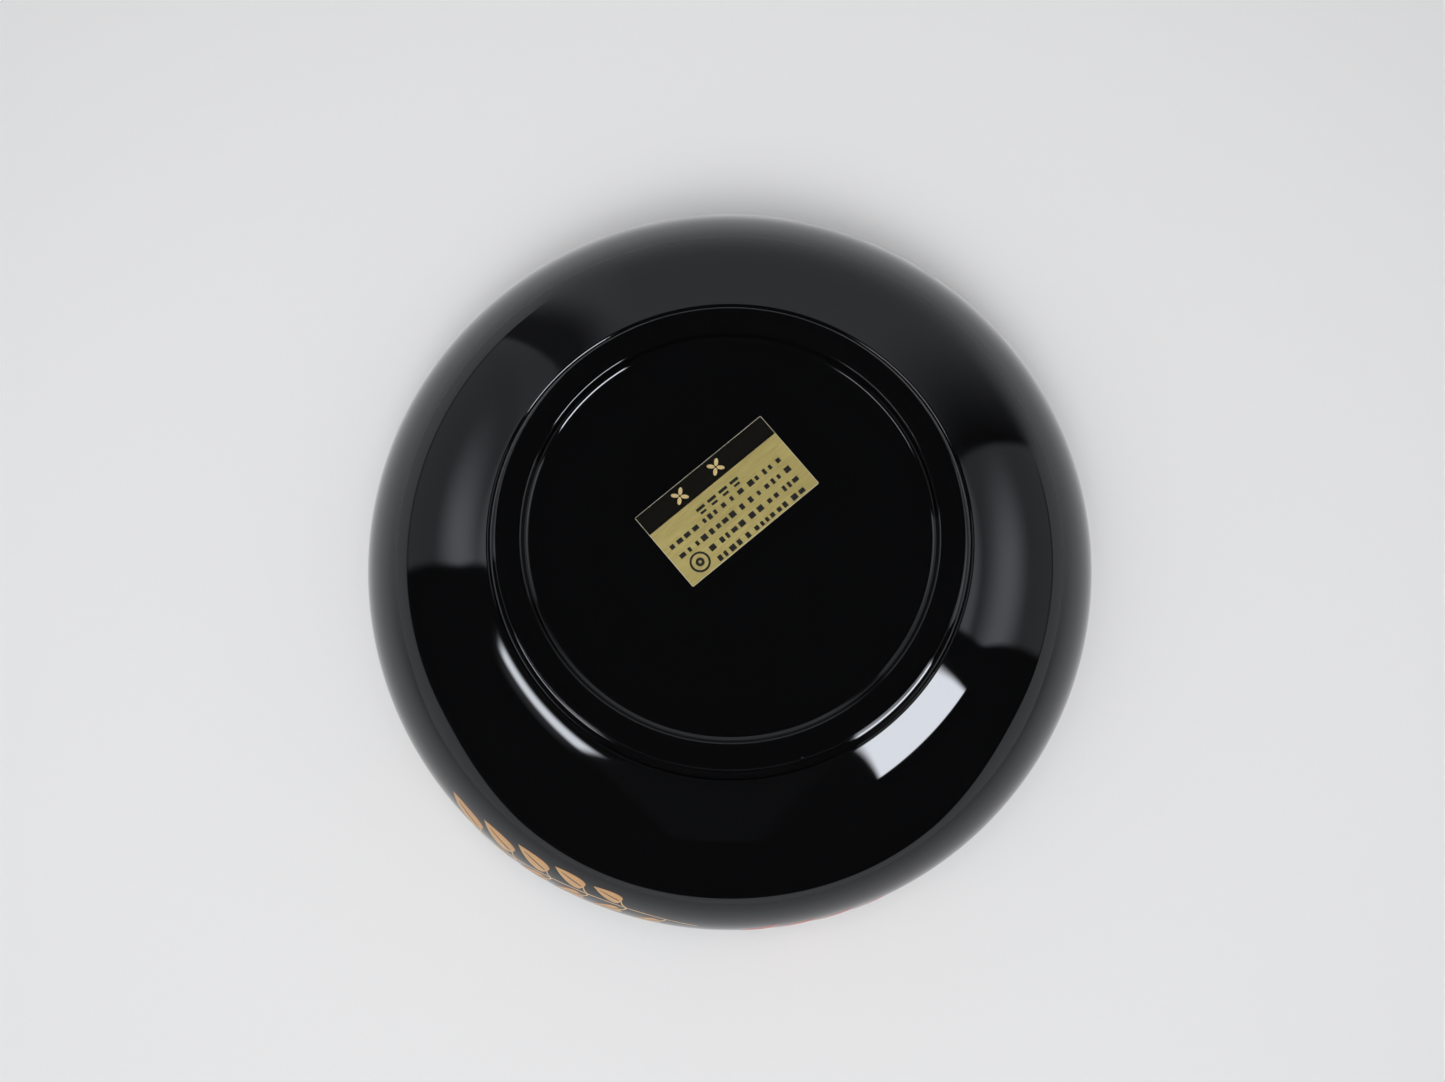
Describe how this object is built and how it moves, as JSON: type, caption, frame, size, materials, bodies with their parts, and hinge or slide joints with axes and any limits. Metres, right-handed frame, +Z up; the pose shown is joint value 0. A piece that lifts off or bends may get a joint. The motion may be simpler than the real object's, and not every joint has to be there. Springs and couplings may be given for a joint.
{
  "type": "lacquered sweets bowl",
  "caption": "Shallow round black-lacquered wooden bowl on a low foot ring, for serving sweets or fruit, with gold and red leaf sprays on its side.",
  "frame": {"origin": "centre of the foot ring's resting face", "axes": "+Z runs up from the foot to the mouth, the bowl's turning axis; -Y faces the side with the painted sprays, gold towards +X and red towards -X"},
  "size_m": [0.24, 0.2406, 0.0713],
  "materials": {
    "wood": "turned, fully covered by lacquer",
    "black_lacquer": "polished gloss lacquer",
    "gold_paint": "fine metallic gold paint, hatched",
    "red_paint": "semi-gloss red lacquer paint",
    "label_paper": "pale label stock",
    "label_foil": "gold-coloured brushed foil",
    "label_band": "printed black"
  },
  "bodies": {
    "root": {"wood_core": "wood", "foot_lacquer": "black_lacquer", "outer_lacquer": "black_lacquer", "inner_lacquer": "black_lacquer", "gold_stem": "gold_paint", "gold_leaf_low_1": "gold_paint", "gold_leaf_low_2": "gold_paint", "gold_leaf_low_3": "gold_paint", "gold_leaf_low_4": "gold_paint", "gold_leaf_low_5": "gold_paint", "gold_leaf_high_1": "gold_paint", "gold_leaf_high_2": "gold_paint", "gold_leaf_high_3": "gold_paint", "gold_leaf_high_4": "gold_paint", "gold_leaf_high_5": "gold_paint", "gold_leaf_high_6": "gold_paint", "gold_leaf_tip": "gold_paint", "red_stem": "red_paint", "red_leaf_low_1": "red_paint", "red_leaf_low_2": "red_paint", "red_leaf_low_3": "red_paint", "red_leaf_low_4": "red_paint", "red_leaf_high_1": "red_paint", "red_leaf_high_2": "red_paint", "red_leaf_high_3": "red_paint", "red_leaf_tip": "red_paint", "label_backing": "label_paper", "label_foil": "label_foil", "label_band": "label_band"}
  },
  "joints": []
}
